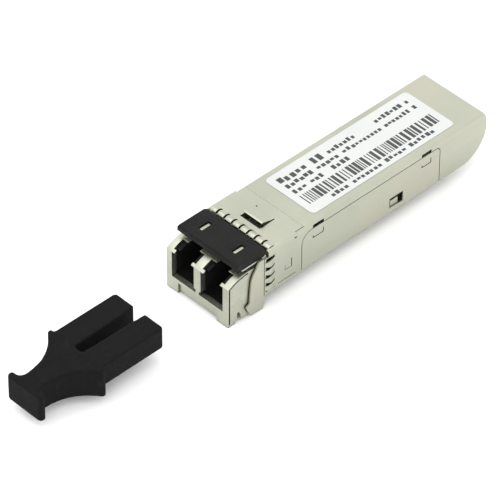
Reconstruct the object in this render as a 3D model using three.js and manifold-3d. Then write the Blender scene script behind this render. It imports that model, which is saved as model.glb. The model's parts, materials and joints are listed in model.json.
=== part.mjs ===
// Small form-factor pluggable optical transceiver with a duplex LC port, a bail latch and its dust plug.
// Millimetres. X runs from the port face towards the edge connector, Y across, Z up.
// Lengths along X are given from the port face. The module and plug groups are then shifted so that
// the origin is at the middle of the module's flat underside.
import * as THREE from 'three';
import { mergeVertices } from 'three/addons/utils/BufferGeometryUtils.js';
import Module from 'manifold-3d';

// ---------------------------------------------------------------- driving dimensions
const BODY_WIDTH = 13.4;
const BODY_HEIGHT = 8.5;
const COVER_END_X = 54.6;
const SKIRT_END_X = 55.2;
const SHEET = 0.4;
const FLOOR_SHEET = 0.45;
const FOLD_RADIUS = 0.6;
const PARTING_Z = 7.38;
const SEAM = 0.12;
const CLEAR = 0.05;

const NOSE_WIDTH = 13.3;
const NOSE_BOTTOM = -1.4;
const FOOT_BOTTOM = -1.8;
const DECK_TOP = 7.05;
const STOP_X = 7.7;

const BAIL_PIVOT = { x: 4.2, z: -0.45 };
const PAWL_PIVOT = { x: 5.9, z: -0.55 };
const LATCH_SHOULDER_X = 10.2;
const LATCH_BOSS_HEIGHT = 0.45;
const LATCH_BOSS_LENGTH = 1.6;
const LATCH_BOSS_WIDTH = 2.6;

const PORT_PITCH = 6.25;
const PORT_WIDTH = 4.8;
const PORT_FLOOR = 0.85;
const PORT_CEILING = 5.7;
const PORT_DEPTH = 12.4;
const FERRULE_Z = 3.2;

const COLLAR_WIDTH = 13.7;
const COLLAR_TOP = 8.6;
const COLLAR_SHEET = 0.2;
const COLLAR_SIDE_X = 7.4;
const COLLAR_TOP_X = 8.6;
const COVER_STRIP_X = 14.25;
const COVER_TOP_X = 16.05;
const SHELL_FRONT_X = 15.38;
const SHELL_REAR_X = 44.85;

const BOARD_BOTTOM = 2.25;
const BOARD_THICKNESS = 1.0;
const BOARD_FRONT_X = 21.6;
const BOARD_END_X = 52.0;
const BOARD_WIDTH = 11.4;
const EDGE_CONNECTOR_WIDTH = 9.2;

const PLUG_GAP = 11.7;
const ORIGIN_X = COVER_END_X / 2;

// ---------------------------------------------------------------- finishes
const finish = (color, roughness, metalness) => ({ color, roughness, metalness });
const NICKEL = finish(0xcbcdbc, 0.34, 1.0);
const CAST_NICKEL = finish(0xc4c6b4, 0.42, 1.0);
const STAINLESS = finish(0xb9bbbb, 0.3, 1.0);
const BLACK_PLASTIC = finish(0x1b1b1b, 0.55, 0.0);
const RUBBER = finish(0x1f1f1f, 0.8, 0.0);
const LABEL_FILM = finish(0xeceeed, 0.45, 0.0);
const SOLDER_MASK = finish(0x1f5a36, 0.45, 0.0);
const CHIP = finish(0x222324, 0.5, 0.0);
const CAPACITOR = finish(0x9a7a55, 0.55, 0.0);
const CERAMIC = finish(0xefeee8, 0.35, 0.0);
const POLYIMIDE = finish(0xb5722a, 0.4, 0.0);

// ---------------------------------------------------------------- solids and booleans
const wasm = await Module();
wasm.setup();

const FAR = 40;
const SIDES = [-1, 1];

function solid(geometry) {
  const bare = geometry.index ? geometry.toNonIndexed() : geometry.clone();
  bare.deleteAttribute('normal');
  bare.deleteAttribute('uv');
  const merged = mergeVertices(bare, 1e-4);
  const corners = merged.index.array;
  const triangles = [];
  for (let i = 0; i < corners.length; i += 3) {
    const [a, b, c] = corners.slice(i, i + 3);
    if (a !== b && b !== c && c !== a) triangles.push(a, b, c);
  }
  return new wasm.Manifold(new wasm.Mesh({
    numProp: 3,
    vertProperties: new Float32Array(merged.attributes.position.array),
    triVerts: new Uint32Array(triangles),
  }));
}

function geometryOf(body) {
  const mesh = body.getMesh();
  const geometry = new THREE.BufferGeometry();
  geometry.setAttribute('position', new THREE.BufferAttribute(new Float32Array(mesh.vertProperties), 3));
  geometry.setIndex(new THREE.BufferAttribute(new Uint32Array(mesh.triVerts), 1));
  return geometry;
}

const joined = (...bodies) => bodies.flat().reduce((sum, body) => sum.add(body));
const without = (body, ...cuts) => cuts.flat().reduce((rest, cut) => rest.subtract(cut), body);

function block(low, high) {
  const size = high.map((value, i) => value - low[i]);
  const centre = high.map((value, i) => (value + low[i]) / 2);
  return solid(new THREE.BoxGeometry(...size).translate(...centre));
}

// A block given on the +Y flank and mirrored to the -Y flank when side is -1.
function flankBlock(side, [x0, y0, z0], [x1, y1, z1]) {
  const [low, high] = side > 0 ? [y0, y1] : [-y1, -y0];
  return block([x0, low, z0], [x1, high, z1]);
}

function outline(points) {
  return new THREE.Shape(points.map(([u, v]) => new THREE.Vector2(u, v)));
}

function extruded(shape, depth, curveSegments) {
  return new THREE.ExtrudeGeometry(shape, { depth, bevelEnabled: false, curveSegments });
}

// A shape drawn in (y, z), running from x0 to x1.
function alongX(shape, x0, x1, curveSegments = 6) {
  const turn = new THREE.Matrix4().makeBasis(
    new THREE.Vector3(0, 1, 0),
    new THREE.Vector3(0, 0, 1),
    new THREE.Vector3(1, 0, 0),
  );
  return solid(extruded(shape, x1 - x0, curveSegments).applyMatrix4(turn).translate(x0, 0, 0));
}

// A shape drawn in (x, z), running from y0 to y1.
function alongY(shape, y0, y1, curveSegments = 6) {
  return solid(extruded(shape, y1 - y0, curveSegments).rotateX(Math.PI / 2).translate(0, y1, 0));
}

// A shape drawn in (x, y), running from z0 to z1.
function alongZ(shape, z0, z1, curveSegments = 6) {
  return solid(extruded(shape, z1 - z0, curveSegments).translate(0, 0, z0));
}

function flankPlate(side, shape, y0, y1, curveSegments) {
  return side > 0 ? alongY(shape, y0, y1, curveSegments) : alongY(shape, -y1, -y0, curveSegments);
}

function rodX(radius, x0, x1, y, z, sides = 24) {
  const rod = new THREE.CylinderGeometry(radius, radius, x1 - x0, sides);
  return solid(rod.rotateZ(Math.PI / 2).translate((x0 + x1) / 2, y, z));
}

function rodY(radius, { x, z }, y0, y1, sides = 20) {
  return solid(new THREE.CylinderGeometry(radius, radius, y1 - y0, sides).translate(x, (y0 + y1) / 2, z));
}

function rodZ(radius, x, y, z0, z1, sides = 12) {
  const rod = new THREE.CylinderGeometry(radius, radius, z1 - z0, sides);
  return solid(rod.rotateX(Math.PI / 2).translate(x, y, (z0 + z1) / 2));
}

// A closed profile of (distance along X, radius) points turned about a line parallel to X.
function turned(profile, y, z, sides = 24) {
  const points = profile.map(([along, radius]) => new THREE.Vector2(radius, along));
  return solid(new THREE.LatheGeometry(points, sides).rotateZ(-Math.PI / 2).translate(0, y, z));
}

function roundedRectangle(u0, u1, v0, v1, radius) {
  const shape = new THREE.Shape();
  shape.moveTo(u0 + radius, v0);
  shape.lineTo(u1 - radius, v0);
  shape.absarc(u1 - radius, v0 + radius, radius, -Math.PI / 2, 0);
  shape.absarc(u1 - radius, v1 - radius, radius, 0, Math.PI / 2);
  shape.absarc(u0 + radius, v1 - radius, radius, Math.PI / 2, Math.PI);
  shape.absarc(u0 + radius, v0 + radius, radius, Math.PI, Math.PI * 1.5);
  return shape;
}

// ---------------------------------------------------------------- the scene graph
const assembly = new THREE.Group();
const moduleGroup = new THREE.Group();
const plugGroup = new THREE.Group();
moduleGroup.position.x = -ORIGIN_X;
plugGroup.position.x = -ORIGIN_X - PLUG_GAP;
assembly.add(moduleGroup, plugGroup);

function add(name, body, look, group = moduleGroup) {
  const mesh = new THREE.Mesh(geometryOf(body), new THREE.MeshStandardMaterial(look));
  mesh.name = name;
  group.add(mesh);
}

// ---------------------------------------------------------------- LC ports
const PORT_CENTRES = SIDES.map((side) => (side * PORT_PITCH) / 2);
const LATCH_SLOT_WIDTH = 3.6;
const DECK_SLOT_WIDTH = 2.6;
const DECK_SLOT_END_X = 3.6;
const DECK_LIP_X = 2.35;
const DECK_LIP_Z = 6.7;

function portChannel(y, x0, x1) {
  const half = PORT_WIDTH / 2;
  return block([x0, y - half, PORT_FLOOR], [x1, y + half, PORT_CEILING]);
}

function slotAbove(y, width, x0, x1, z0, z1) {
  return block([x0, y - width / 2, z0], [x1, y + width / 2, z1]);
}

// ---------------------------------------------------------------- die-cast nose
const NOSE_HALF = NOSE_WIDTH / 2;
const NOSE_ARC = DECK_TOP - BAIL_PIVOT.z;
const NOSE_FRONT_TOP = BAIL_PIVOT.z + Math.sqrt(NOSE_ARC ** 2 - BAIL_PIVOT.x ** 2);
const LINER_HALF = 6.2;
const LINER_FRONT_X = 1.0;
const LINER_END_X = 13.0;
const LINER_BOTTOM = 0.7;
const LINER_TOP = 6.75;
const INNER_HALF = BODY_WIDTH / 2 - SHEET - CLEAR;
const NOSE_END_X = 22.5;
const FOOT_INNER = 4.2;
const FOOT_END_X = 1.75;
const POCKET_HALF = 5.75;
const POCKET_FLOOR = 0.75;
const PAWL_CAVITY_HALF = 1.55;
const SEAM_INSET = 0.22;
const PIVOT_HOLE_RADIUS = 0.36;
const SNAP_XS = [[17.6, 19.9], [40.9, 43.0]];

// Side view of the front block: its top is an arc about the bail's pivot, so that the bail clears it.
function noseSideShape(inset) {
  const shape = new THREE.Shape();
  const radius = NOSE_ARC - inset;
  const reach = BAIL_PIVOT.x - inset;
  const start = Math.PI - Math.acos(reach / radius);
  shape.moveTo(inset, NOSE_BOTTOM);
  shape.lineTo(inset, BAIL_PIVOT.z + radius * Math.sin(start));
  shape.absarc(BAIL_PIVOT.x, BAIL_PIVOT.z, radius, start, Math.PI / 2, true);
  shape.lineTo(STOP_X, DECK_TOP - inset);
  shape.lineTo(STOP_X, NOSE_BOTTOM);
  return shape;
}

function linerShape(grow) {
  return outline([
    [LINER_FRONT_X - grow, LINER_BOTTOM - grow],
    [LINER_END_X + grow, LINER_BOTTOM - grow],
    [LINER_END_X + grow, LINER_TOP + grow],
    [3.2 - grow, LINER_TOP + grow],
    [LINER_FRONT_X - grow, 5.75 + grow],
  ]);
}

function footShape() {
  const shape = new THREE.Shape();
  shape.moveTo(0, NOSE_BOTTOM + 0.2);
  shape.lineTo(0, FOOT_BOTTOM + 0.15);
  shape.quadraticCurveTo(0.02, FOOT_BOTTOM, 0.2, FOOT_BOTTOM);
  shape.lineTo(FOOT_END_X - 0.5, FOOT_BOTTOM);
  shape.quadraticCurveTo(FOOT_END_X - 0.1, FOOT_BOTTOM, FOOT_END_X, NOSE_BOTTOM + 0.2);
  return shape;
}

function noseBlocks() {
  const front = alongY(noseSideShape(0), -NOSE_HALF, NOSE_HALF, 10);
  const feet = SIDES.map((side) => flankPlate(side, footShape(), FOOT_INNER, NOSE_HALF, 4));
  const underFingers = block([STOP_X - 0.1, -NOSE_HALF, COLLAR_SHEET], [10.7, NOSE_HALF, DECK_TOP]);
  const seatTop = COLLAR_TOP - COLLAR_SHEET;
  const seatEnd = COVER_STRIP_X - CLEAR;
  const seat = block([10.6, -NOSE_HALF, COLLAR_SHEET], [seatEnd, NOSE_HALF, seatTop]);
  const neck = block([seatEnd, -INNER_HALF, 0.1], [SHELL_FRONT_X - 0.1, INNER_HALF, seatTop]);
  const fingerStep = block([COLLAR_TOP_X, -NOSE_HALF, 5], [10.7, NOSE_HALF, seatTop]);
  const throat = block([13, -INNER_HALF, FLOOR_SHEET + CLEAR],
    [COVER_TOP_X - CLEAR, INNER_HALF, seatTop]);
  const cradle = block([15, -INNER_HALF, FLOOR_SHEET + CLEAR],
    [NOSE_END_X, INNER_HALF, BODY_HEIGHT - SHEET - CLEAR]);
  return joined(front, feet, underFingers, fingerStep, seat, neck, throat, cradle);
}

// Each port's mouth: small lips at its top corners, full width behind them, a narrower slot in the deck.
function portMouth(y) {
  const lipBack = 0.45;
  return joined(
    portChannel(y, -1, LINER_FRONT_X + 0.2),
    slotAbove(y, LATCH_SLOT_WIDTH, -1, lipBack + 0.1, PORT_CEILING - 0.1, FAR),
    slotAbove(y, PORT_WIDTH, lipBack, DECK_LIP_X, PORT_CEILING - 0.1, FAR),
    slotAbove(y, PORT_WIDTH, lipBack, DECK_SLOT_END_X, PORT_CEILING - 0.1, DECK_LIP_Z),
    slotAbove(y, DECK_SLOT_WIDTH, -1, DECK_SLOT_END_X, PORT_CEILING - 0.1, FAR),
  );
}

function noseHousing() {
  const seamDepth = 0.42;
  const seam = without(alongY(noseSideShape(SEAM_INSET), -FAR, FAR, 10),
    alongY(noseSideShape(SEAM_INSET + 0.26), -FAR, FAR, 10),
    block([0, -NOSE_HALF + seamDepth, -FAR], [FAR, NOSE_HALF - seamDepth, FAR]),
    block([BAIL_PIVOT.x, -FAR, -FAR], [FAR, FAR, FAR]));
  const postStem = SIDES.map((side) => flankBlock(side, [-1, 0.35, PORT_FLOOR], [FOOT_END_X, 1.0, 1.5]));
  const recess = block([-1, -4.2, -2], [0.35, 4.2, 0.22]);
  const recessGroove = block([0, -4.2, -0.15], [1.5, 4.2, 0.22]);
  const footNotch = SIDES.map((side) => flankPlate(side, outline([
    [FOOT_END_X, -3], [FOOT_END_X + 0.2, 0.1], [FOOT_END_X + 0.55, 0.1], [2.65, -0.75], [2.65, -3],
  ]), FOOT_INNER, FAR));
  const pawlCavity = block([3.4, -PAWL_CAVITY_HALF, -3], [7.3, PAWL_CAVITY_HALF, 0.15]);
  const bossCavity = block([6.6, -PAWL_CAVITY_HALF, -3], [13.2, PAWL_CAVITY_HALF, LINER_BOTTOM]);
  const sideOpenings = SIDES.flatMap((side) => [
    flankBlock(side, [STOP_X + 0.1, LINER_HALF, 0.95], [9.6, FAR, 7.0]),
    flankBlock(side, [11.5, LINER_HALF, 2.7], [12.95, FAR, 4.6]),
  ]);
  const topTroughs = [
    block([COLLAR_TOP_X + 0.15, -6.3, 7.3], [9.9, 6.3, FAR]),
    block([10.7, -2.3, 7.3], [14.0, 2.1, FAR]),
  ];
  const pocket = block([LINER_END_X, -POCKET_HALF, POCKET_FLOOR], [16.4, POCKET_HALF, 7.2]);
  const openPocket = block([16.3, -POCKET_HALF, POCKET_FLOOR], [FAR, POCKET_HALF, FAR]);
  const openFloor = block([19.0, -POCKET_HALF, 0], [FAR, POCKET_HALF, 1]);
  const snapWindow = block([SNAP_XS[0][0] - 0.3, -FAR, 5.2], [SNAP_XS[0][1] + 0.3, FAR, FAR]);
  return without(noseBlocks(), seam, alongY(linerShape(CLEAR), -LINER_HALF - CLEAR, LINER_HALF + CLEAR),
    PORT_CENTRES.map(portMouth), postStem, recess, recessGroove, footNotch, pawlCavity, bossCavity,
    sideOpenings, topTroughs, pocket, openPocket, openFloor, snapWindow,
    rodY(PIVOT_HOLE_RADIUS, BAIL_PIVOT, -FAR, FAR), rodY(PIVOT_HOLE_RADIUS, PAWL_PIVOT, -3, 3));
}
add('nose_housing', noseHousing(), CAST_NICKEL);

// ---------------------------------------------------------------- black LC receptacle
function lcReceptacle() {
  const body = alongY(linerShape(0), -LINER_HALF, LINER_HALF);
  const hollows = PORT_CENTRES.map((y) => joined(
    portChannel(y, 0, PORT_DEPTH),
    slotAbove(y, LATCH_SLOT_WIDTH - 0.4, 0, 10.8, PORT_CEILING - 0.1, LINER_TOP - 0.3),
    slotAbove(y, LATCH_SLOT_WIDTH - 0.4, 0, DECK_SLOT_END_X, PORT_CEILING - 0.1, FAR),
    rodX(1.5, PORT_DEPTH - 0.5, FAR, y, FERRULE_Z),
  ));
  return without(body, hollows);
}
add('lc_receptacle', lcReceptacle(), BLACK_PLASTIC);

// ---------------------------------------------------------------- EMI spring collar
const COLLAR_HALF = COLLAR_WIDTH / 2;
const TOP_FINGERS = { count: 8, pitch: 1.63, width: 1.25, length: 1.3, rise: 0.26 };
const SIDE_FINGERS = {
  count: 4, pitch: 1.55, width: 1.25, tipWidth: 0.7, length: 2.1, rise: 0.32, middle: 3.95,
};
const SIDE_TOP = 7.4;

// Side view of one sprung finger: a thin arched strip drawn in (along, out).
function fingerShape({ length, rise }) {
  const shape = new THREE.Shape();
  shape.moveTo(0, -COLLAR_SHEET);
  shape.lineTo(0, -0.02);
  shape.quadraticCurveTo(length * 0.35, rise * 2, length, 0);
  shape.lineTo(length + 0.3, 0);
  shape.lineTo(length + 0.3, -COLLAR_SHEET);
  shape.lineTo(length, -COLLAR_SHEET);
  shape.quadraticCurveTo(length * 0.35, rise * 2 - COLLAR_SHEET, 0.15, -COLLAR_SHEET);
  return shape;
}

function fingerStrip(row) {
  return extruded(fingerShape(row), row.width, 5).translate(0, 0, -row.width / 2);
}

function rowOffsets({ count, pitch }) {
  return Array.from({ length: count }, (_, i) => (i - (count - 1) / 2) * pitch);
}

function topFinger(y) {
  return solid(fingerStrip(TOP_FINGERS).rotateX(Math.PI / 2).translate(COLLAR_TOP_X, y, COLLAR_TOP));
}

// The side fingers widen from their free tips to their roots.
function sideFinger(side, offset) {
  const { width, tipWidth, length, middle } = SIDE_FINGERS;
  const strip = fingerStrip(SIDE_FINGERS);
  const facing = side < 0 ? strip.rotateX(Math.PI) : strip;
  const z = middle + offset;
  const taper = outline([
    [COLLAR_SIDE_X, z - tipWidth / 2], [COLLAR_SIDE_X + length * 0.55, z - width / 2],
    [COLLAR_SIDE_X + length + 1, z - width / 2], [COLLAR_SIDE_X + length + 1, z + width / 2],
    [COLLAR_SIDE_X + length * 0.55, z + width / 2], [COLLAR_SIDE_X, z + tipWidth / 2],
  ]);
  return solid(facing.translate(COLLAR_SIDE_X, side * COLLAR_HALF, z)).intersect(alongY(taper, -FAR, FAR));
}

// A lanced tongue, root to the rear, its free front edge lifted clear of the top.
function collarTongue() {
  const underside = COLLAR_TOP - COLLAR_SHEET;
  return alongY(outline([
    [14.1, underside], [14.1, COLLAR_TOP], [13.5, COLLAR_TOP + 0.03], [11.7, COLLAR_TOP + 0.62],
    [11.45, COLLAR_TOP + 0.5], [11.5, COLLAR_TOP + 0.34], [11.72, COLLAR_TOP + 0.41],
    [13.45, underside + 0.03],
  ]), -2.0, 2.0);
}

function emiCollar() {
  const inner = COLLAR_HALF - COLLAR_SHEET;
  const sleeveShape = roundedRectangle(-COLLAR_HALF, COLLAR_HALF, 0, COLLAR_TOP, 0.45);
  sleeveShape.holes.push(outline([
    [-inner, COLLAR_SHEET], [inner, COLLAR_SHEET],
    [inner, COLLAR_TOP - COLLAR_SHEET], [-inner, COLLAR_TOP - COLLAR_SHEET],
  ]));
  const sleeve = alongX(sleeveShape, COLLAR_SIDE_X, COVER_TOP_X - 0.1, 4);
  const topFront = joined(
    block([0, -FAR, SIDE_TOP], [COLLAR_TOP_X - 0.35, FAR, FAR]),
    block([0, -6.35, SIDE_TOP], [COLLAR_TOP_X, 6.35, FAR]),
  );
  const bottomFront = block([0, -FAR, -1], [STOP_X + 0.1, FAR, COLLAR_SHEET]);
  const latchOpening = block([0, -3.1, -1], [FAR, 3.1, 1]);
  const rearLow = block([COVER_STRIP_X - CLEAR, -FAR, -1], [FAR, FAR, 7.5]);
  const rearSides = SIDES.map((side) => flankBlock(side,
    [COVER_STRIP_X - CLEAR, INNER_HALF, -1], [FAR, FAR, FAR]));
  const rearNotch = SIDES.map((side) => flankBlock(side, [13.6, 6.0, 7.9], [COVER_STRIP_X, FAR, 8.15]));
  const topFingerBed = block([0, -6.35, 8.2], [COLLAR_TOP_X + TOP_FINGERS.length, 6.35, FAR]);
  const sideFingerBed = SIDES.map((side) => flankBlock(side, [COLLAR_SIDE_X + 0.25, 6.5, 0.8],
    [COLLAR_SIDE_X + SIDE_FINGERS.length, FAR, SIDE_TOP - 0.05]));
  const tongueOpening = block([10.8, -2.2, 8.2], [14.0, 2.0, FAR]);
  const sideLance = SIDES.flatMap((side) => [
    flankBlock(side, [11.65, 6.5, 2.8], [13.1, FAR, 2.9]),
    flankBlock(side, [12.95, 6.5, 2.8], [13.1, FAR, 4.5]),
    flankBlock(side, [11.65, 6.5, 2.8], [11.73, FAR, 3.7]),
    flankBlock(side, [10.2, 6.5, 1.0], [13.9, FAR, 1.1]),
  ]);
  const shell = without(sleeve, topFront, bottomFront, latchOpening, rearLow, rearSides, rearNotch,
    topFingerBed, sideFingerBed, tongueOpening, sideLance);
  const fingers = [
    rowOffsets(TOP_FINGERS).map(topFinger),
    SIDES.flatMap((side) => rowOffsets(SIDE_FINGERS).map((z) => sideFinger(side, z))),
  ].flat();
  const frontEdges = SIDES.map((side) => flankBlock(side, [COLLAR_SIDE_X, inner, 0.75],
    [COLLAR_SIDE_X + 0.3, COLLAR_HALF, SIDE_TOP]));
  return without(joined(shell, fingers, frontEdges, collarTongue()), rodZ(0.15, 14.1, 1.85, 8, 9));
}
add('emi_collar', emiCollar(), NICKEL);

// ---------------------------------------------------------------- sheet-metal shells
const HALF_BODY = BODY_WIDTH / 2;
const FRONT_ARC = 2.2;
const REAR_ARC = 0.95;
const REAR_CORNER = 5.5;
const WINDOW = { x0: 34.05, x1: 36.95, z0: 1.37, z1: 3.3 };
const LANCE_CUT = 0.16;

// Side view of the cover: a full-height strip in front, a band along the top, full-height skirts behind.
function coverSideShape() {
  const shape = new THREE.Shape();
  const front = SHELL_FRONT_X - SEAM;
  const rear = SHELL_REAR_X + SEAM;
  const edge = PARTING_Z + SEAM;
  const bottom = 0.5;
  shape.moveTo(COVER_STRIP_X, 0.05);
  shape.lineTo(front, 0.05);
  shape.lineTo(front, edge - FRONT_ARC);
  shape.absarc(front + FRONT_ARC, edge - FRONT_ARC, FRONT_ARC, Math.PI, Math.PI / 2, true);
  shape.lineTo(rear - REAR_ARC, edge);
  shape.absarc(rear - REAR_ARC, edge - REAR_ARC, REAR_ARC, Math.PI / 2, 0, true);
  shape.lineTo(rear, bottom);
  shape.lineTo(SKIRT_END_X - REAR_CORNER, bottom);
  shape.absarc(SKIRT_END_X - REAR_CORNER, bottom + REAR_CORNER, REAR_CORNER, -Math.PI / 2, 0, false);
  shape.lineTo(SKIRT_END_X, 6.0);
  shape.quadraticCurveTo(SKIRT_END_X, 7.6, COVER_END_X, BODY_HEIGHT);
  shape.lineTo(COVER_STRIP_X, BODY_HEIGHT);
  return shape;
}

// A folded channel drawn in (y, z): its back lies at z = back and its two flanks run to z = open.
function channelShape(back, open, wall) {
  const shape = new THREE.Shape();
  const inner = HALF_BODY - SHEET;
  const down = Math.sign(open - back);
  const fold = back + down * FOLD_RADIUS;
  shape.moveTo(-HALF_BODY, open);
  shape.lineTo(-HALF_BODY, fold);
  const foldEnd = down > 0 ? Math.PI * 1.5 : Math.PI / 2;
  shape.absarc(-HALF_BODY + FOLD_RADIUS, fold, FOLD_RADIUS, Math.PI, foldEnd, down < 0);
  shape.lineTo(HALF_BODY - FOLD_RADIUS, back);
  shape.absarc(HALF_BODY - FOLD_RADIUS, fold, FOLD_RADIUS, (-down * Math.PI) / 2, 0, down < 0);
  shape.lineTo(HALF_BODY, open);
  shape.lineTo(inner, open);
  shape.lineTo(inner, back + down * wall);
  shape.lineTo(-inner, back + down * wall);
  shape.lineTo(-inner, open);
  return shape;
}

function topCover() {
  const channel = alongX(channelShape(BODY_HEIGHT, 0, SHEET), COVER_STRIP_X, SKIRT_END_X, 5);
  const side = alongY(coverSideShape(), -FAR, FAR, 10);
  const inner = HALF_BODY - SHEET;
  const rearTrim = block([COVER_END_X, -inner, 7], [FAR * 2, inner, FAR]);
  const frontTrim = block([0, -inner, 7], [COVER_TOP_X, inner, FAR]);
  const snapSlots = SNAP_XS.map(([x0, x1]) => joined(SIDES.map((flank) => flankBlock(flank,
    [x0, 5.8, 7.0], [x1, FAR, 8.05]))));
  return without(channel.intersect(side), rearTrim, frontTrim, snapSlots);
}
add('top_cover', topCover(), NICKEL);

function shellSideShape() {
  const shape = new THREE.Shape();
  const frontArc = FRONT_ARC - SEAM;
  const rearArc = REAR_ARC - SEAM;
  shape.moveTo(SHELL_FRONT_X, 0);
  shape.lineTo(SHELL_REAR_X, 0);
  shape.lineTo(SHELL_REAR_X, PARTING_Z - rearArc);
  shape.absarc(SHELL_REAR_X - rearArc, PARTING_Z - rearArc, rearArc, 0, Math.PI / 2, false);
  shape.lineTo(SHELL_FRONT_X + frontArc, PARTING_Z);
  shape.absarc(SHELL_FRONT_X + frontArc, PARTING_Z - frontArc, frontArc, Math.PI / 2, Math.PI, false);
  return shape;
}

// The three cuts that free a snap tab below a corner slot of the cover.
function snapLance(flank, x0, x1) {
  const bottom = 5.45;
  return [
    flankBlock(flank, [x0, 6.2, bottom], [x1, FAR, bottom + LANCE_CUT]),
    flankBlock(flank, [x1 - LANCE_CUT, 6.2, bottom], [x1, FAR, bottom + 1.0]),
    flankBlock(flank, [x0, 6.2, bottom], [x0 + LANCE_CUT, FAR, bottom + 0.5]),
  ];
}

function bottomShell() {
  const channel = alongX(channelShape(0, PARTING_Z + 0.5, FLOOR_SHEET), SHELL_FRONT_X, SHELL_REAR_X, 5);
  const side = alongY(shellSideShape(), -FAR, FAR, 8);
  const cuts = SIDES.flatMap((flank) => [
    flankBlock(flank, [WINDOW.x0, 6.2, WINDOW.z0], [WINDOW.x1, FAR, WINDOW.z1]),
    ...SNAP_XS.flatMap(([x0, x1]) => snapLance(flank, x0, x1)),
  ]);
  const tabs = SIDES.map((flank) => flankBlock(flank, [WINDOW.x0 + 0.4, 6.05, WINDOW.z0 - 0.4],
    [WINDOW.x1 - 0.9, HALF_BODY - 0.25, WINDOW.z1 - 0.75]));
  const ledges = SIDES.flatMap((flank) => [26, 40].map((x) => flankBlock(flank, [x, 5.3, 0.2],
    [x + 3, HALF_BODY - 0.1, BOARD_BOTTOM - CLEAR])));
  return joined(without(channel.intersect(side), cuts), tabs, ledges);
}
add('bottom_shell', bottomShell(), NICKEL);

const LABEL = { x0: 19.0, x1: 49.5, half: 5.35, thickness: 0.06 };
add('label', alongZ(roundedRectangle(LABEL.x0, LABEL.x1, -LABEL.half, LABEL.half, 0.8),
  BODY_HEIGHT, BODY_HEIGHT + LABEL.thickness, 6), LABEL_FILM);

// ---------------------------------------------------------------- bail latch
const ARM = { inner: 6.75, outer: 7.1, rearX: 7.05 };
const BRIDGE = { x0: 3.0, x1: 7.9, bottom: DECK_TOP + 0.6, thickness: 0.3 };
const BRIDGE_TOP = BRIDGE.bottom + BRIDGE.thickness;
const HANDLE = { x0: 2.1, x1: 8.1, half: 6.52, top: 9.0, corner: 0.5 };
const HANDLE_SLOT = { x0: 4.0, x1: 6.2, y: 3.6, half: 0.42, rib: 0.27 };
const ARM_LOWEST = -1.75;

// The wavy front edge of the side arm; its lower rear corner stays inside the sweep before the collar.
function armShape() {
  const shape = new THREE.Shape();
  shape.moveTo(6.1, BRIDGE_TOP);
  shape.bezierCurveTo(5.6, 6.6, 4.62, 6.2, 4.42, 4.6);
  shape.lineTo(4.12, 1.0);
  shape.quadraticCurveTo(4.08, 0.62, 3.62, 0.52);
  shape.quadraticCurveTo(3.4, 0.35, 3.5, 0.05);
  shape.lineTo(3.98, -0.95);
  shape.quadraticCurveTo(4.3, -1.5, 4.85, -1.6);
  shape.lineTo(6.0, ARM_LOWEST);
  shape.lineTo(6.6, ARM_LOWEST);
  shape.quadraticCurveTo(ARM.rearX - 0.05, ARM_LOWEST + 0.05, ARM.rearX, ARM_LOWEST + 0.45);
  shape.lineTo(ARM.rearX, BRIDGE_TOP);
  return shape;
}

function bailFrame() {
  const arms = SIDES.map((side) => flankPlate(side, armShape(), ARM.inner, ARM.outer, 6));
  const bridge = block([BRIDGE.x0, -6.6, BRIDGE.bottom], [BRIDGE.x1, 6.6, BRIDGE_TOP]);
  const corners = SIDES.map((side) => flankBlock(side,
    [6.1, 6.5, BRIDGE.bottom], [ARM.rearX, ARM.outer, BRIDGE_TOP]));
  const ribs = SIDES.map((side) => block(
    [HANDLE_SLOT.x0 + 0.15, side * HANDLE_SLOT.y - HANDLE_SLOT.rib, BRIDGE_TOP - 0.1],
    [HANDLE_SLOT.x1 - 0.15, side * HANDLE_SLOT.y + HANDLE_SLOT.rib, HANDLE.top - 0.2],
  ));
  return joined(arms, bridge, corners, ribs);
}
add('bail_frame', bailFrame(), NICKEL);

function bailHandle() {
  const { x0, x1, half, top, corner } = HANDLE;
  const bottom = BRIDGE_TOP;
  const profile = outline([
    [x0 + 0.15, bottom], [x1, bottom], [x1, top - 0.2], [x1 - 0.15, top], [x0 + 0.3, top], [x0, top - 0.25],
    [x0, bottom + 0.2],
  ]);
  const slots = SIDES.map((side) => alongZ(roundedRectangle(HANDLE_SLOT.x0, HANDLE_SLOT.x1,
    side * HANDLE_SLOT.y - HANDLE_SLOT.half, side * HANDLE_SLOT.y + HANDLE_SLOT.half, 0.15), 0, FAR, 3));
  const plan = outline([
    [0, -half], [x1 - corner, -half], [x1, corner - half], [x1, half - corner], [x1 - corner, half],
    [0, half],
  ]);
  return without(alongY(profile, -half, half).intersect(alongZ(plan, 0, FAR)), slots);
}
add('bail_handle', bailHandle(), BLACK_PLASTIC);

const CAM = { least: 0.25, lift: 0.18, half: 1.2, travel: (85 * Math.PI) / 180 };
const SHAFT_RADIUS = 0.3;

// Seen from the side, the cam's radius grows steadily from straight down towards the front.
function camShape() {
  const steps = 8;
  const points = [];
  for (let step = 0; step <= steps; step += 1) {
    const turn = (step / steps) * CAM.travel;
    const radius = CAM.least + (CAM.lift * step) / steps;
    points.push([BAIL_PIVOT.x - radius * Math.sin(turn), BAIL_PIVOT.z - radius * Math.cos(turn)]);
  }
  for (let step = 1; step < steps; step += 1) {
    const turn = CAM.travel + (step / steps) * (Math.PI * 2 - CAM.travel);
    points.push([BAIL_PIVOT.x - CAM.least * Math.sin(turn), BAIL_PIVOT.z - CAM.least * Math.cos(turn)]);
  }
  return outline(points);
}

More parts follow.
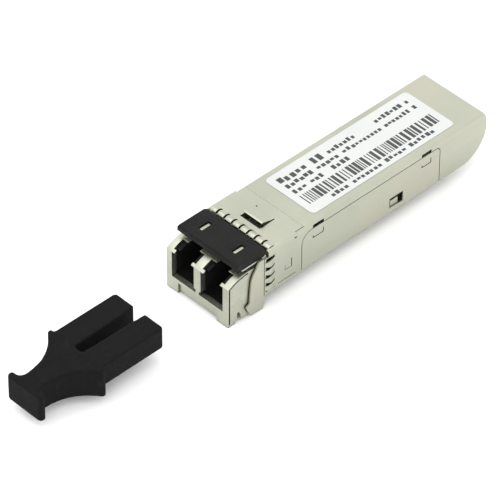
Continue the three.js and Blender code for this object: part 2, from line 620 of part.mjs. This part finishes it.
function bailShaft() {
  const ends = SIDES.map((side) => (side > 0
    ? rodY(SHAFT_RADIUS, BAIL_PIVOT, CAM.half, ARM.inner)
    : rodY(SHAFT_RADIUS, BAIL_PIVOT, -ARM.inner, -CAM.half)));
  return joined(alongY(camShape(), -CAM.half, CAM.half), ends);
}
add('bail_cam_shaft', bailShaft(), STAINLESS);

function latchPawl() {
  const half = LATCH_BOSS_WIDTH / 2;
  const bossEnd = LATCH_SHOULDER_X + LATCH_BOSS_LENGTH;
  const armTop = 0.05;
  const frontArm = alongY(outline([
    [3.9, -0.75], [3.9, -1.05], [5.7, -1.1], [5.9, -0.75],
  ]), -half, half);
  const hub = rodY(0.6, PAWL_PIVOT, -half, half, 24);
  const rearArm = alongY(outline([
    [5.9, -0.2], [5.9, -0.6], [6.9, -0.2], [bossEnd, -0.2], [bossEnd, armTop], [6.3, armTop],
  ]), -half, half);
  const boss = alongY(outline([
    [LATCH_SHOULDER_X, -LATCH_BOSS_HEIGHT], [bossEnd - 0.9, -LATCH_BOSS_HEIGHT], [bossEnd, -0.2],
    [bossEnd, armTop], [LATCH_SHOULDER_X, armTop],
  ]), -half, half);
  return without(joined(frontArm, hub, rearArm, boss), rodY(PIVOT_HOLE_RADIUS, PAWL_PIVOT, -FAR, FAR));
}
add('latch_pawl', latchPawl(), STAINLESS);
add('latch_pivot_pin', rodY(0.3, PAWL_PIVOT, -2.9, 2.9), STAINLESS);

// A leaf rooted under the receptacle; its curled tip bears on the pawl's rear arm.
function latchSpring() {
  return alongY(outline([
    [7.3, 0.22], [7.45, 0.1], [7.62, 0.1], [8.95, 0.58], [9.7, 0.58], [9.7, 0.68], [8.93, 0.68],
    [7.6, 0.2], [7.48, 0.2], [7.37, 0.28],
  ]), -1.0, 1.0);
}
add('latch_spring', latchSpring(), STAINLESS);

// ---------------------------------------------------------------- optical sub-assemblies
const BARREL = { start: 6.0, radius: 1.45, bore: 0.63, flange: 2.3, seat: 1.9 };

function barrel(y) {
  const { start, radius, bore, flange, seat } = BARREL;
  return turned([
    [start, bore], [start, radius - 0.15], [start + 0.15, radius], [13.1, radius], [13.1, flange],
    [14.0, flange], [14.0, seat], [16.0, seat], [16.0, 0.4], [13.0, 0.4], [13.0, bore], [start, bore],
  ], y, FERRULE_Z);
}

function fibreStub(y) {
  return turned([[9.5, 0], [9.5, 0.5], [9.6, 0.6], [12.9, 0.6], [12.9, 0]], y, FERRULE_Z, 16);
}

function can(y) {
  return turned([
    [16.05, 0], [16.05, 2.2], [16.2, 2.35], [19.2, 2.35], [19.2, 2.6], [19.9, 2.6], [19.9, 0],
  ], y, FERRULE_Z);
}

// A thin strip that stands behind the can and bends over onto the board.
function flex(y) {
  const thickness = 0.12;
  const boardTop = BOARD_BOTTOM + BOARD_THICKNESS;
  const shape = outline([
    [20.0, 1.2], [20.0 + thickness, 1.2], [20.4, 2.6], [20.9, boardTop], [23.4, boardTop],
    [23.4, boardTop + thickness], [20.84, boardTop + thickness], [20.3, 2.66],
  ]);
  return alongY(shape, y - 1.6, y + 1.6);
}

for (const [name, y] of [['tosa', PORT_PITCH / 2], ['rosa', -PORT_PITCH / 2]]) {
  add(`${name}_barrel`, barrel(y), STAINLESS);
  add(`${name}_fibre_stub`, fibreStub(y), CERAMIC);
  add(`${name}_can`, can(y), NICKEL);
  add(`${name}_flex`, flex(y), POLYIMIDE);
}

function osaClamp() {
  const bar = block([14.05, -5.7, 0.8], [15.2, 5.7, 6.2]);
  return without(bar, PORT_CENTRES.map((y) => rodX(BARREL.seat + CLEAR, 10, 20, y, FERRULE_Z)));
}
add('osa_clamp', osaClamp(), BLACK_PLASTIC);

// ---------------------------------------------------------------- circuit board
const BOARD_TOP = BOARD_BOTTOM + BOARD_THICKNESS;

// Half the board's plan, mirrored about Y = 0: wide in the shells, narrow where it enters the host.
function circuitBoard() {
  const wide = BOARD_WIDTH / 2;
  const edge = EDGE_CONNECTOR_WIDTH / 2;
  const chamfer = 0.4;
  const half = [
    [BOARD_FRONT_X, wide], [43.0 - chamfer, wide], [43.0, wide - chamfer], [43.0, edge],
    [BOARD_END_X - chamfer, edge], [BOARD_END_X, edge - chamfer],
  ];
  const mirrored = half.map(([x, y]) => [x, -y]).reverse();
  return alongZ(outline([...half, ...mirrored]), BOARD_BOTTOM, BOARD_TOP);
}
add('circuit_board', circuitBoard(), SOLDER_MASK);

// name, centre x, centre y, length, width, height, finish
const BOARD_PARTS = [
  ['laser_driver_ic', 27.0, 2.5, 3.0, 3.0, 0.9, CHIP],
  ['limiting_amplifier_ic', 27.0, -2.5, 3.0, 3.0, 0.9, CHIP],
  ['microcontroller_ic', 34.0, 0.5, 4.0, 4.0, 0.9, CHIP],
  ['memory_ic', 40.0, -3.0, 2.0, 3.0, 0.8, CHIP],
  ['transmit_supply_inductor', 38.6, 3.6, 2.0, 1.6, 1.4, CHIP],
  ['receive_supply_inductor', 41.4, 3.6, 2.0, 1.6, 1.4, CHIP],
  ['transmit_bulk_capacitor', 30.6, 4.6, 1.6, 0.8, 0.8, CAPACITOR],
  ['receive_bulk_capacitor', 30.6, -4.6, 1.6, 0.8, 0.8, CAPACITOR],
  ['transmit_coupling_capacitor', 24.6, 4.9, 1.0, 0.5, 0.5, CAPACITOR],
  ['receive_coupling_capacitor', 24.6, -4.9, 1.0, 0.5, 0.5, CAPACITOR],
];

for (const [name, x, y, length, width, height, look] of BOARD_PARTS) {
  const low = [x - length / 2, y - width / 2, BOARD_TOP];
  const high = [x + length / 2, y + width / 2, BOARD_TOP + height];
  add(name, block(low, high), look);
}

// ---------------------------------------------------------------- dust plug
// In its own group X = 0 is at the tips of the prongs and the grip lies on the -X side.
const PRONG = {
  length: 12.25, bottom: 1.05, top: 4.95, rootInner: 0.85, tipInner: 1.12, outer: 5.28, bore: 1.5,
};
const GRIP = {
  bottom: -0.3, endTop: 4.35, flange: 5.98, waist: 1.9, bar: 3.7, end: -23.1, barThickness: 1.2,
};
const FLANGE_THICKNESS = 0.65;

// The grip's plan: the flange, a scooped flank, the end bar and back along the other flank.
function gripShape() {
  const root = -PRONG.length;
  const neck = GRIP.end + GRIP.barThickness;
  const scoop = root - FLANGE_THICKNESS;
  const shape = new THREE.Shape();
  shape.moveTo(root, -GRIP.flange);
  shape.lineTo(root, GRIP.flange);
  shape.lineTo(scoop, GRIP.flange);
  shape.bezierCurveTo(scoop - 1.9, 3.5, scoop - 4.0, GRIP.waist, neck + 1.4, GRIP.waist);
  shape.quadraticCurveTo(neck, GRIP.waist, neck, 2.9);
  shape.quadraticCurveTo(neck, GRIP.bar, neck - 0.4, GRIP.bar);
  shape.quadraticCurveTo(GRIP.end, GRIP.bar, GRIP.end, GRIP.bar - 0.5);
  shape.lineTo(GRIP.end, -GRIP.bar + 0.5);
  shape.quadraticCurveTo(GRIP.end, -GRIP.bar, neck - 0.4, -GRIP.bar);
  shape.quadraticCurveTo(neck, -GRIP.bar, neck, -2.9);
  shape.quadraticCurveTo(neck, -GRIP.waist, neck + 1.4, -GRIP.waist);
  shape.bezierCurveTo(scoop - 4.0, -GRIP.waist, scoop - 1.9, -3.5, scoop, -GRIP.flange);
  return shape;
}

function prongShape(side) {
  const root = -PRONG.length - 0.3;
  const tipOuter = PRONG.outer - 0.03;
  return outline([
    [root, side * PRONG.rootInner], [-0.2, side * PRONG.tipInner], [0, side * (PRONG.tipInner + 0.2)],
    [0, side * (tipOuter - 0.3)], [-0.3, side * tipOuter], [root, side * PRONG.outer],
  ]);
}

function dustPlug() {
  const sideShape = outline([
    [GRIP.end, GRIP.bottom], [0, GRIP.bottom], [0, PRONG.top], [-PRONG.length, PRONG.top],
    [GRIP.end, GRIP.endTop],
  ]);
  const grip = alongZ(gripShape(), GRIP.bottom, PRONG.top, 7).intersect(alongY(sideShape, -FAR, FAR));
  const prongs = SIDES.map((side) => alongZ(prongShape(side), PRONG.bottom, PRONG.top));
  const barrelBores = PORT_CENTRES.map((y) => rodX(PRONG.bore, -6.45, 1, y, FERRULE_Z));
  return without(joined(grip, prongs), barrelBores);
}
add('dust_plug', dustPlug(), RUBBER, plugGroup);

export default assembly;
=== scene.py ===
import json
import math
import random

import bmesh
import bpy
from mathutils import Euler, Matrix, Vector


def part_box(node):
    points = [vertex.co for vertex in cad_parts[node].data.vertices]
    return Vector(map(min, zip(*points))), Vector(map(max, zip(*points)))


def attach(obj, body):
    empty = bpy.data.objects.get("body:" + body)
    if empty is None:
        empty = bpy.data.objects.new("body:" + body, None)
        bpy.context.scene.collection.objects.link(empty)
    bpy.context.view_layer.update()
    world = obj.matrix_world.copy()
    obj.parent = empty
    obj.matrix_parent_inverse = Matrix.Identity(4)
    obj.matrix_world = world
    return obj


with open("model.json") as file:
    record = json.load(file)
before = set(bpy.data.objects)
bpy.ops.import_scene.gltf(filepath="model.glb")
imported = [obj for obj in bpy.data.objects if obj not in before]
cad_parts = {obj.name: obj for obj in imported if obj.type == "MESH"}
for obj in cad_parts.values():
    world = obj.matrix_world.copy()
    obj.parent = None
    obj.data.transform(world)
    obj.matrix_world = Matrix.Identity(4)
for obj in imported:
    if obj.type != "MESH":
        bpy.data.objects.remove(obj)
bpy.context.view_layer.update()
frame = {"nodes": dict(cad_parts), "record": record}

MM = 0.001
FOOT_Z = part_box("nose_housing")[0].z

# sockets of a Mix node that is set to colours, whose names repeat for each data type
MIX_FIRST, MIX_SECOND, MIX_RESULT = 6, 7, 2
OCCLUSION_SAMPLES = 8


# ---------------------------------------------------------------- node helpers
class Shader:
    """A Principled material built node by node, in the object's own metre coordinates."""

    def __init__(self, name, colour, roughness, metallic=0.0):
        self.material = bpy.data.materials.new(name)
        self.material.use_nodes = True
        self.nodes = self.material.node_tree.nodes
        self.links = self.material.node_tree.links
        self.bsdf = self.nodes["Principled BSDF"]
        self.bsdf.inputs["Base Color"].default_value = (*colour, 1)
        self.bsdf.inputs["Roughness"].default_value = roughness
        self.bsdf.inputs["Metallic"].default_value = metallic
        self.coordinates = self.nodes.new("ShaderNodeTexCoord").outputs["Object"]
        self.material.diffuse_color = (*colour, 1)
        self.height = None

    def noise(self, scale, detail=4.0, stretch=(1, 1, 1), roughness=0.55):
        mapping = self.nodes.new("ShaderNodeMapping")
        mapping.inputs["Scale"].default_value = stretch
        self.links.new(self.coordinates, mapping.inputs["Vector"])
        texture = self.nodes.new("ShaderNodeTexNoise")
        texture.inputs["Scale"].default_value = scale
        texture.inputs["Detail"].default_value = detail
        texture.inputs["Roughness"].default_value = roughness
        self.links.new(mapping.outputs["Vector"], texture.inputs["Vector"])
        return texture.outputs["Fac"]

    def ranged(self, value, low, high, from_low=0.3, from_high=0.7):
        node = self.nodes.new("ShaderNodeMapRange")
        node.inputs["From Min"].default_value = from_low
        node.inputs["From Max"].default_value = from_high
        node.inputs["To Min"].default_value = low
        node.inputs["To Max"].default_value = high
        self.links.new(value, node.inputs["Value"])
        return node.outputs["Result"]

    def colours(self, value, *stops):
        ramp = self.nodes.new("ShaderNodeValToRGB")
        elements = ramp.color_ramp.elements
        while len(elements) < len(stops):
            elements.new(0.5)
        for element, (position, colour) in zip(elements, stops):
            element.position = position
            element.color = (*colour, 1)
        self.links.new(value, ramp.inputs["Fac"])
        self.links.new(ramp.outputs["Color"], self.bsdf.inputs["Base Color"])

    def paint_crevice_shade(self, distance, darkest):
        """Darkens the colour in gaps narrower than the distance with painted shade, where shade falls.
        """
        occlusion = self.nodes.new("ShaderNodeAmbientOcclusion")
        occlusion.samples = OCCLUSION_SAMPLES
        occlusion.inputs["Distance"].default_value = distance
        mix = self.nodes.new("ShaderNodeMix")
        mix.data_type = "RGBA"
        mix.blend_type = "MULTIPLY"
        mix.inputs["Factor"].default_value = 1.0
        base = self.bsdf.inputs["Base Color"]
        shadow = self.ranged(occlusion.outputs["AO"], darkest, 1.0, 0.3, 0.85)
        self.links.new(base.links[0].from_socket, mix.inputs[MIX_FIRST])
        self.links.new(shadow, mix.inputs[MIX_SECOND])
        self.links.new(mix.outputs[MIX_RESULT], base)

    def rough(self, value):
        self.links.new(value, self.bsdf.inputs["Roughness"])

    def bump(self, value, strength, distance):
        node = self.nodes.new("ShaderNodeBump")
        node.inputs["Strength"].default_value = strength
        node.inputs["Distance"].default_value = distance
        self.links.new(value, node.inputs["Height"])
        if self.height is not None:
            self.links.new(self.height, node.inputs["Normal"])
        self.height = node.outputs["Normal"]
        self.links.new(self.height, self.bsdf.inputs["Normal"])


def shade(colour, factor):
    return tuple(min(1.0, channel * factor) for channel in colour)


# ---------------------------------------------------------------- materials, one function each
def nickel_sheet():
    """Nickel-plated rolled sheet: fine grain along X, faint warm blotches, light scuffs."""
    base = (0.415, 0.425, 0.347)
    m = Shader("nickel_sheet", base, 0.34, 1.0)
    blotch = m.noise(90, 3)
    warm = (0.447, 0.437, 0.36)
    m.colours(blotch, (0.3, shade(base, 0.93)), (0.5, base), (0.72, warm))
    # painted shade: the colour is darkened in narrow gaps and grooves
    m.paint_crevice_shade(distance=0.0005, darkest=0.1)
    grain = m.noise(900, 6, stretch=(0.06, 1, 1))
    m.rough(m.ranged(grain, 0.28, 0.42))
    m.bump(grain, 0.12, 0.00002)
    m.bump(m.noise(260, 2), 0.10, 0.00006)
    return m.material


def cast_nickel():
    """Plated die casting: a slightly orange-peel skin with pale worn highs."""
    base = (0.455, 0.465, 0.383)
    m = Shader("cast_nickel", base, 0.4, 1.0)
    m.colours(m.noise(220, 4), (0.3, shade(base, 0.88)), (0.55, base), (0.75, shade(base, 1.08)))
    # painted shade: the colour is darkened in narrow gaps and recesses
    m.paint_crevice_shade(distance=0.0006, darkest=0.1)
    skin = m.noise(2600, 4)
    m.rough(m.ranged(skin, 0.32, 0.5))
    m.bump(skin, 0.25, 0.00002)
    m.bump(m.noise(500, 3), 0.15, 0.00005)
    return m.material


def stainless():
    base = (0.55, 0.56, 0.56)
    m = Shader("stainless", base, 0.28, 1.0)
    lines = m.noise(1400, 5, stretch=(1, 0.08, 1))
    m.colours(m.noise(150, 3), (0.3, shade(base, 0.9)), (0.7, shade(base, 1.08)))
    m.rough(m.ranged(lines, 0.2, 0.36))
    m.bump(lines, 0.1, 0.00002)
    return m.material


def black_plastic():
    """Spark-eroded moulding: fine sparkle texture on near-black resin."""
    base = (0.0075, 0.0075, 0.0072)
    m = Shader("black_plastic", base, 0.5)
    m.bsdf.inputs["Specular IOR Level"].default_value = 0.11
    texture = m.noise(4200, 5)
    m.colours(m.noise(300, 3), (0.3, shade(base, 0.8)), (0.7, shade(base, 1.25)))
    m.rough(m.ranged(texture, 0.42, 0.62))
    m.bump(texture, 0.35, 0.00002)
    return m.material


def plug_rubber():
    """Soft matte elastomer with moulding speckle and a little dust."""
    base = (0.0052, 0.0052, 0.0052)
    m = Shader("plug_rubber", base, 0.72)
    m.bsdf.inputs["Specular IOR Level"].default_value = 0.1
    dust = (0.009, 0.009, 0.0088)
    m.colours(m.noise(700, 6), (0.35, shade(base, 0.85)), (0.62, base), (0.74, dust))
    texture = m.noise(3000, 5)
    m.rough(m.ranged(texture, 0.64, 0.82))
    m.bump(texture, 0.3, 0.00003)
    m.bump(m.noise(320, 2), 0.12, 0.0001)
    return m.material


def label_film():
    base = (0.53, 0.543, 0.53)
    m = Shader("label_film", base, 0.38)
    m.colours(m.noise(120, 3), (0.3, shade(base, 0.975)), (0.7, shade(base, 1.02)))
    fibre = m.noise(1800, 4)
    m.rough(m.ranged(fibre, 0.34, 0.46))
    m.bump(fibre, 0.06, 0.00002)
    return m.material


def print_ink():
    base = (0.02, 0.021, 0.022)
    m = Shader("print_ink", base, 0.5)
    m.colours(m.noise(2500, 4), (0.3, base), (0.75, (0.045, 0.047, 0.048)))
    m.rough(m.ranged(m.noise(2500, 4), 0.42, 0.6))
    return m.material


def circuit_laminate():
    """Green solder mask over copper pours and a woven core."""
    base = (0.018, 0.13, 0.045)
    m = Shader("circuit_laminate", base, 0.35)
    m.bsdf.inputs["Coat Weight"].default_value = 0.4
    m.colours(m.noise(500, 2), (0.42, shade(base, 0.75)), (0.5, base), (0.58, shade(base, 1.35)))
    weave = m.noise(1500, 2, stretch=(1, 1, 0.2))
    m.rough(m.ranged(weave, 0.28, 0.42))
    m.bump(weave, 0.15, 0.00002)
    return m.material


def chip_plastic():
    base = (0.02, 0.02, 0.022)
    m = Shader("chip_plastic", base, 0.55)
    speck = m.noise(3500, 4)
    m.colours(speck, (0.3, shade(base, 0.8)), (0.7, shade(base, 1.5)))
    m.rough(m.ranged(speck, 0.48, 0.65))
    m.bump(speck, 0.25, 0.00002)
    return m.material


def capacitor_ceramic():
    base = (0.34, 0.23, 0.12)
    m = Shader("capacitor_ceramic", base, 0.5)
    m.colours(m.noise(1800, 3), (0.3, shade(base, 0.85)), (0.7, shade(base, 1.15)))
    m.rough(m.ranged(m.noise(2500, 3), 0.4, 0.6))
    return m.material


def ceramic():
    base = (0.82, 0.80, 0.75)
    m = Shader("ceramic", base, 0.25)
    m.colours(m.noise(1500, 3), (0.3, shade(base, 0.96)), (0.7, shade(base, 1.04)))
    m.rough(m.ranged(m.noise(3000, 3), 0.18, 0.32))
    return m.material


def flex_film():
    """Amber polyimide with the darker shadow of its copper tracks."""
    base = (0.42, 0.17, 0.03)
    m = Shader("flex_film", base, 0.3)
    tracks = m.noise(1500, 1, stretch=(0.05, 1, 0.05))
    m.colours(tracks, (0.44, shade(base, 0.6)), (0.52, base), (0.6, shade(base, 1.15)))
    m.rough(m.ranged(tracks, 0.25, 0.4))
    return m.material


def gold_plate():
    base = (0.9, 0.62, 0.25)
    m = Shader("gold_plate", base, 0.25, 1.0)
    wipe = m.noise(2200, 4, stretch=(0.1, 1, 1))
    m.colours(wipe, (0.3, shade(base, 0.88)), (0.7, shade(base, 1.06)))
    m.rough(m.ranged(wipe, 0.18, 0.34))
    return m.material


def solder():
    base = (0.62, 0.63, 0.64)
    m = Shader("solder", base, 0.3, 1.0)
    m.colours(m.noise(2500, 4), (0.3, shade(base, 0.82)), (0.7, shade(base, 1.1)))
    m.rough(m.ranged(m.noise(1800, 4), 0.2, 0.45))
    m.bump(m.noise(1800, 3), 0.3, 0.00003)
    return m.material


# ---------------------------------------------------------------- materials and edges of the CAD nodes
SLOT_MATERIALS = {
    "cast_nickel": cast_nickel(),
    "nickel_sheet": nickel_sheet(),
    "stainless": stainless(),
    "black_plastic": black_plastic(),
    "plug_rubber": plug_rubber(),
    "label_film": label_film(),
    "circuit_laminate": circuit_laminate(),
    "chip_plastic": chip_plastic(),
    "capacitor_ceramic": capacitor_ceramic(),
    "ceramic": ceramic(),
    "flex_film": flex_film(),
}
EDGE_RADIUS = {
    "nose_housing": 0.09,
    "lc_receptacle": 0.08,
    "emi_collar": 0.035,
    "top_cover": 0.05,
    "bottom_shell": 0.05,
    "label": 0.015,
    "bail_frame": 0.06,
    "bail_handle": 0.16,
    "osa_clamp": 0.1,
    "circuit_board": 0.03,
}
PLAIN_EDGE = 0.05
EDGE_SEGMENTS = 3
SHARP_ANGLE = math.radians(32)
FLAT_ANGLE = math.radians(0.6)
WELD_DISTANCE = 1e-6
# stampings whose many small cuts turn into slivers when their flats are joined
THIN_STAMPINGS = ("emi_collar",)
RUBBER_VOXEL = 0.18
RUBBER_PASSES = 7


def soften(piece, radius):
    """Joins a solid's facets, rounds its sharp edges and shades its curves smoothly."""
    weld = piece.modifiers.new("weld", "WELD")
    weld.merge_threshold = WELD_DISTANCE
    if piece.name not in THIN_STAMPINGS:
        flats = piece.modifiers.new("flats", "DECIMATE")
        flats.decimate_type = "DISSOLVE"
        flats.angle_limit = FLAT_ANGLE
    bevel = piece.modifiers.new("edges", "BEVEL")
    bevel.width = radius * MM
    bevel.segments = EDGE_SEGMENTS
    bevel.limit_method = "ANGLE"
    bevel.angle_limit = SHARP_ANGLE
    bevel.use_clamp_overlap = True
    bevel.miter_outer = "MITER_ARC"
    shading = piece.modifiers.new("shading", "WEIGHTED_NORMAL")
    shading.keep_sharp = False
    shading.weight = 100
    piece.data.polygons.foreach_set("use_smooth", [True] * len(piece.data.polygons))


def soften_moulding(piece, voxel, passes):
    """Rounds every edge of a rubber moulding evenly, by remeshing it finely and relaxing it."""
    remesh = piece.modifiers.new("remesh", "REMESH")
    remesh.mode = "VOXEL"
    remesh.voxel_size = voxel * MM
    remesh.use_smooth_shade = True
    relax = piece.modifiers.new("relax", "SMOOTH")
    relax.factor = 0.5
    relax.iterations = passes


def dress_nodes():
    slots = {part["node"]: part["material_slot"] for part in frame["record"]["subparts"]}
    for name, piece in frame["nodes"].items():
        piece.data.materials.clear()
        piece.data.materials.append(SLOT_MATERIALS[slots[name]])
        if name == "dust_plug":
            soften_moulding(piece, RUBBER_VOXEL, RUBBER_PASSES)
        else:
            soften(piece, EDGE_RADIUS.get(name, PLAIN_EDGE))


# ---------------------------------------------------------------- small pieces made here
def new_piece(name, mesh, material, body="root"):
    data = bpy.data.meshes.new(name)
    mesh.to_mesh(data)
    mesh.free()
    data.materials.append(material)
    piece = bpy.data.objects.new(name, data)
    bpy.context.scene.collection.objects.link(piece)
    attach(piece, body)
    return piece


def add_block(mesh, low, high):
    low, high = Vector(low), Vector(high)
    place = Matrix.Translation((low + high) / 2) @ Matrix.Diagonal((*(high - low), 1))
    bmesh.ops.create_cube(mesh, size=1.0, matrix=place)


PAD_COUNT = 10
PAD_PITCH = 0.8 * MM
PAD_WIDTH = 0.52 * MM
PAD_LENGTH = 2.9 * MM
LONG_PAD_EVERY = 3
LONG_PAD_EXTRA = 0.5 * MM
PAD_SETBACK = 0.35 * MM
PLATING = 0.035 * MM


def edge_contacts():
    """Ten gold fingers on each face of the board's tail; every third one is longer."""
    low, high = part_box("circuit_board")
    mesh = bmesh.new()
    for face_z, out in ((high.z, 1), (low.z, -1)):
        for index in range(PAD_COUNT):
            y = (index - (PAD_COUNT - 1) / 2) * PAD_PITCH
            reach = PAD_LENGTH + (LONG_PAD_EXTRA if index % LONG_PAD_EVERY == 0 else 0)
            z0, z1 = sorted((face_z, face_z + out * PLATING))
            end = high.x - PAD_SETBACK
            add_block(mesh, (end - reach, y - PAD_WIDTH / 2, z0), (end, y + PAD_WIDTH / 2, z1))
    bmesh.ops.bevel(mesh, geom=mesh.edges[:], offset=0.012 * MM, segments=2, affect="EDGES")
    return new_piece("edge_contacts", mesh, gold_plate())


CHIPS = ("laser_driver_ic", "limiting_amplifier_ic", "microcontroller_ic", "memory_ic")
LEAD_PITCH = 0.5 * MM
LEAD_WIDTH = 0.26 * MM
LEAD_REACH = 0.16 * MM
LEAD_RISE = 0.12 * MM
LEADLESS_ENDS = 0.4 * MM
CAP_SHARE = 0.2
CAP_SKIN = 0.015 * MM


def add_side_leads(mesh, low, high, across, along):
    """Solder fillets on the two sides of a chip that face along one axis."""
    count = int((high[along] - low[along] - LEADLESS_ENDS) / LEAD_PITCH)
    for index in range(count):
        middle = (low[along] + high[along]) / 2 + (index - (count - 1) / 2) * LEAD_PITCH
        for edge, out in ((low[across], -1), (high[across], 1)):
            a, b = [0, 0, low.z], [0, 0, low.z + LEAD_RISE]
            a[across], b[across] = sorted((edge, edge + out * LEAD_REACH))
            a[along], b[along] = middle - LEAD_WIDTH / 2, middle + LEAD_WIDTH / 2
            add_block(mesh, a, b)


def add_end_caps(mesh, low, high):
    """The plated ends of a capacitor or an inductor."""
    cap = (high.x - low.x) * CAP_SHARE
    for x0, x1 in ((low.x - CAP_SKIN, low.x + cap), (high.x - cap, high.x + CAP_SKIN)):
        add_block(mesh, (x0, low.y - CAP_SKIN, low.z), (x1, high.y + CAP_SKIN, high.z + CAP_SKIN))


def package_leads():
    mesh = bmesh.new()
    for name in CHIPS:
        low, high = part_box(name)
        add_side_leads(mesh, low, high, across=0, along=1)
        add_side_leads(mesh, low, high, across=1, along=0)
    for name in frame["nodes"]:
        if name.endswith(("_capacitor", "_inductor")):
            low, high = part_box(name)
            add_end_caps(mesh, low, high)
    bmesh.ops.bevel(mesh, geom=mesh.edges[:], offset=0.02 * MM, segments=2, affect="EDGES")
    return new_piece("package_leads", mesh, solder())


PIN_COUNT = 4
PIN_CIRCLE = 1.1 * MM
PIN_LENGTH = 0.56 * MM
PIN_ROOT_RADIUS = 0.2 * MM
PIN_TIP_RADIUS = 0.14 * MM


def can_pins():
    """Four gold leads behind each can, standing through the flex circuit."""
    mesh = bmesh.new()
    for name in ("tosa_can", "rosa_can"):
        low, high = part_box(name)
        y, z = (low.y + high.y) / 2, (low.z + high.z) / 2
        for turn in range(PIN_COUNT):
            angle = math.radians(45 + 360 / PIN_COUNT * turn)
            across = PIN_CIRCLE * math.cos(angle)
            up = PIN_CIRCLE * math.sin(angle)
            spot = Vector((high.x + PIN_LENGTH / 2, y + across, z + up))
            place = Matrix.Translation(spot) @ Matrix.Rotation(math.radians(90), 4, "Y")
            bmesh.ops.create_cone(
                mesh, cap_ends=True, segments=16, radius1=PIN_ROOT_RADIUS,
                radius2=PIN_TIP_RADIUS, depth=PIN_LENGTH, matrix=place)
    return new_piece("can_pins", mesh, gold_plate())


INK = 0.008 * MM


def ink_bar(mesh, x0, x1, y0, y1, z):
    add_block(mesh, (x0, y0, z), (x1, y1, z + INK))


def bar_strip(mesh, x0, x1, y0, y1, z, draw):
    """A row of upright bars with random widths, standing for a machine-readable strip."""
    x = x0
    while x < x1:
        width = draw.choice((0.2, 0.2, 0.3, 0.42, 0.6)) * MM
        ink_bar(mesh, x, min(x + width, x1), y0, y1, z)
        x += width + draw.choice((0.2, 0.26, 0.4)) * MM


def mark_row(mesh, x0, x1, y, height, pitch, z, draw):
    """A row of plain blocks in groups, standing for a line of print."""
    x = x0
    while x < x1:
        for _ in range(draw.randint(3, 7)):
            if x > x1:
                break
            width = pitch * draw.uniform(0.6, 0.8)
            foot = y + draw.choice((0, 0, 0, 0.18)) * height
            top = y + draw.choice((0.72, 0.72, 1.0)) * height
            ink_bar(mesh, x, x + width, foot, top, z)
            x += pitch
        x += pitch * 0.8


PRINT_SEED = 7
# start and end along the label, foot across it, height and pitch of the marks, all in mm
PRINT_ROWS = (
    (1.3, 10.5, 2.75, 1.45, 1.2),
    (11.5, 17.5, 2.95, 0.9, 0.85),
    (21.8, 29.0, 3.1, 0.9, 0.85),
    (1.3, 15.4, 1.35, 0.95, 0.95),
    (16.0, 29.0, 1.35, 0.85, 0.8),
    (1.3, 7.5, -0.2, 0.95, 0.95),
    (9.5, 13.0, -0.2, 0.95, 0.95),
    (5.0, 8.0, -4.6, 0.85, 0.9),
    (9.5, 26.5, -4.6, 0.85, 0.9),
)
STRIP_MARGIN = 1.3 * MM
STRIP_FOOT = -3.35 * MM
STRIP_TOP = -0.95 * MM


def label_print():
    low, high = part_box("label")
    z = high.z
    draw = random.Random(PRINT_SEED)
    mesh = bmesh.new()
    for start, end, foot, height, pitch in PRINT_ROWS:
        x0, x1 = low.x + start * MM, low.x + end * MM
        mark_row(mesh, x0, x1, foot * MM, height * MM, pitch * MM, z, draw)
    x0, x1 = low.x + STRIP_MARGIN, high.x - STRIP_MARGIN
    bar_strip(mesh, x0, x1, STRIP_FOOT, STRIP_TOP, z, draw)
    return new_piece("label_print", mesh, print_ink())


# ---------------------------------------------------------------- floor, light and camera
FLOOR_HALF = 1.5
FLOOR_GAP = 0.00002


def floor():
    mesh = bmesh.new()
    bmesh.ops.create_grid(mesh, x_segments=2, y_segments=2, size=FLOOR_HALF)
    data = bpy.data.meshes.new("floor")
    mesh.to_mesh(data)
    mesh.free()
    base, dull, bright = (0.93,) * 3, (0.925,) * 3, (0.935,) * 3
    m = Shader("floor_paper", base, 0.8)
    m.colours(m.noise(40, 3), (0.3, dull), (0.7, bright))
    data.materials.append(m.material)
    ground = bpy.data.objects.new("floor", data)
    ground.location.z = FOOT_Z - FLOOR_GAP
    bpy.context.scene.collection.objects.link(ground)


def area_light(name, place, size, power):
    light = bpy.data.lights.new(name, "AREA")
    light.shape = "DISK"
    light.size = size
    light.energy = power
    lamp = bpy.data.objects.new(name, light)
    lamp.location = place
    lamp.rotation_euler = (-Vector(place)).to_track_quat("-Z", "Y").to_euler()
    bpy.context.scene.collection.objects.link(lamp)


def studio():
    world = bpy.data.worlds.new("studio")
    world.use_nodes = True
    sky = world.node_tree.nodes["Background"]
    sky.inputs["Color"].default_value = (1, 1, 1, 1)
    sky.inputs["Strength"].default_value = 1.45
    bpy.context.scene.world = world
    area_light("key", place=(-0.12, 0.2, 0.85), size=0.9, power=1.8)
    area_light("fill", place=(-0.5, -0.35, 0.45), size=0.5, power=0.6)
    bpy.context.scene.view_settings.view_transform = "Standard"


AZIMUTH = math.radians(-44.08)
ELEVATION = math.radians(41.82)
ROLL = math.radians(0.29)
DISTANCE = 0.70019
LENS = 330.74
SENSOR_WIDTH = 36.0
NEAR_CLIP = 0.01
AIM = Vector((-12.154, 4.313, -2.53)) * MM


def camera():
    data = bpy.data.cameras.new("camera")
    data.lens = LENS
    data.sensor_width = SENSOR_WIDTH
    data.clip_start = NEAR_CLIP
    view = bpy.data.objects.new("camera", data)
    turn = Euler((math.pi / 2 - ELEVATION, 0, AZIMUTH)).to_matrix() @ Matrix.Rotation(ROLL, 3, "Z")
    eye = AIM + turn @ Vector((0, 0, DISTANCE))
    view.matrix_world = Matrix.Translation(eye) @ turn.to_4x4()
    bpy.context.scene.collection.objects.link(view)
    bpy.context.scene.camera = view


camera()
dress_nodes()
edge_contacts()
package_leads()
can_pins()
label_print()
floor()
studio()
